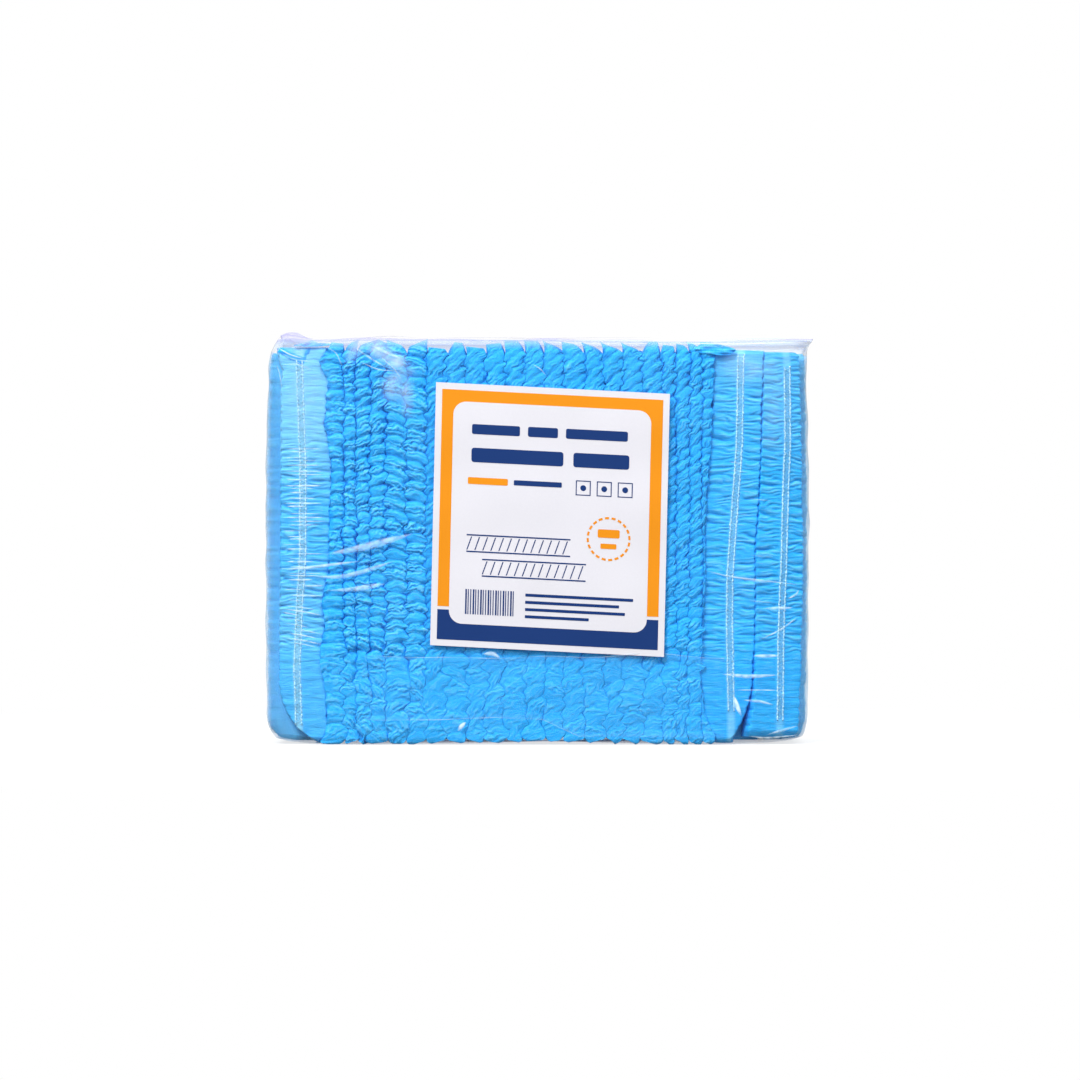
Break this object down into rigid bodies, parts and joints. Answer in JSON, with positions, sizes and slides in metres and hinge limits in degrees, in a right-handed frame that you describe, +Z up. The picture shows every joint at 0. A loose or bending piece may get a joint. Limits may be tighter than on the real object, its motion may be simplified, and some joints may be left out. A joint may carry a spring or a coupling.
{
  "type": "pack of pleated nurse strip caps in a clear film bag",
  "caption": "Clear film bag packed with pleated strip nurse caps standing on edge and lying flat, with a paper label; it stands on its base.",
  "frame": {"origin": "middle of the base, on the surface that the pack stands on", "axes": "+Z up, +X across the front from left to right, -Y towards the labelled front"},
  "size_m": [0.2764, 0.087, 0.2065],
  "materials": {
    "cap_fabric": "soft matt spunbond polypropylene, bright blue",
    "elastic_thread": "white covered elastic, matt",
    "bag_film": "clear glossy polyethylene film, softly creased",
    "label_paper": "semi-gloss coated paper, printed orange and navy"
  },
  "bodies": {
    "root": {"bag_film": "bag_film", "bag_flap": "bag_film", "cap_back_01": "cap_fabric", "cap_back_02": "cap_fabric", "cap_back_03": "cap_fabric", "cap_back_04": "cap_fabric", "cap_back_05": "cap_fabric", "cap_back_06": "cap_fabric", "cap_back_07": "cap_fabric", "cap_back_08": "cap_fabric", "cap_back_09": "cap_fabric", "cap_back_10": "cap_fabric", "cap_back_11": "cap_fabric", "cap_back_12": "cap_fabric", "cap_back_13": "cap_fabric", "cap_back_14": "cap_fabric", "cap_back_15": "cap_fabric", "cap_back_16": "cap_fabric", "cap_back_17": "cap_fabric", "cap_back_18": "cap_fabric", "cap_back_19": "cap_fabric", "cap_core": "cap_fabric", "cap_flat_left": "cap_fabric", "cap_flat_right_inner": "cap_fabric", "cap_flat_right_outer": "cap_fabric", "cap_front_01": "cap_fabric", "cap_front_02": "cap_fabric", "cap_front_03": "cap_fabric", "cap_front_04": "cap_fabric", "cap_front_05": "cap_fabric", "cap_front_06": "cap_fabric", "cap_front_07": "cap_fabric", "cap_front_08": "cap_fabric", "cap_front_09": "cap_fabric", "cap_front_10": "cap_fabric", "cap_front_11": "cap_fabric", "cap_front_12": "cap_fabric", "cap_front_13": "cap_fabric", "cap_front_14": "cap_fabric", "cap_front_15": "cap_fabric", "cap_front_16": "cap_fabric", "cap_front_17": "cap_fabric", "cap_front_18": "cap_fabric", "cap_front_19": "cap_fabric", "cap_front_20": "cap_fabric", "cap_front_21": "cap_fabric", "cap_front_22": "cap_fabric", "cap_stack_left": "cap_fabric", "cap_stack_right_inner": "cap_fabric", "cap_stack_right_outer": "cap_fabric", "elastic_left": "elastic_thread", "elastic_right_inner": "elastic_thread", "elastic_right_outer": "elastic_thread", "label": "label_paper"}
  },
  "joints": []
}
